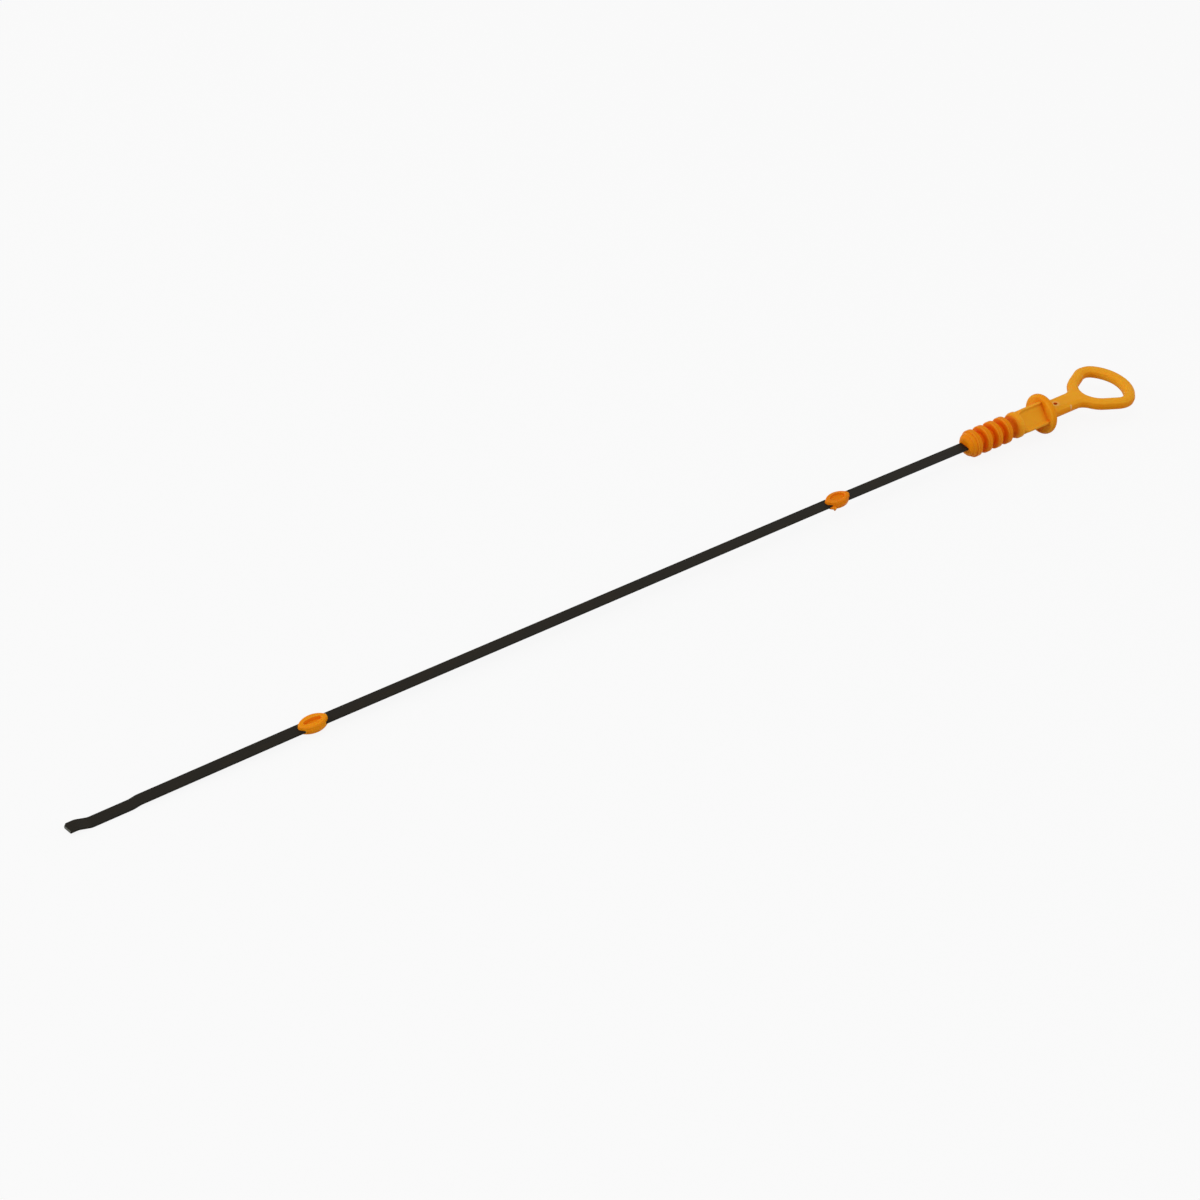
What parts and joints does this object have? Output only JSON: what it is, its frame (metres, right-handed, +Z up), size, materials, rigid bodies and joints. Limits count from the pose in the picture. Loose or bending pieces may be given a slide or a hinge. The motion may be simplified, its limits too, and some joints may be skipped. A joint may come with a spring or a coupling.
{
  "type": "engine oil dipstick",
  "caption": "Engine oil dipstick: flat cranked steel strip with moulded guide beads, and a plastic handle with a ribbed seal plug, seat flange and finger loop.",
  "frame": {"origin": "middle of the lying dipstick's box, on the surface that it lies on", "axes": "+X along the dipstick from the blade's tip to the finger loop, +Y across the flat of the blade, +Z up"},
  "size_m": [0.4916, 0.0318, 0.0182],
  "materials": {
    "dark_strip": "thin dark satin coat on steel strip",
    "orange_moulding": "satin moulded plastic"
  },
  "bodies": {
    "root": {"blade": "dark_strip", "handle": "orange_moulding", "upper_guide_bead": "orange_moulding", "lower_guide_bead": "orange_moulding"}
  },
  "joints": []
}
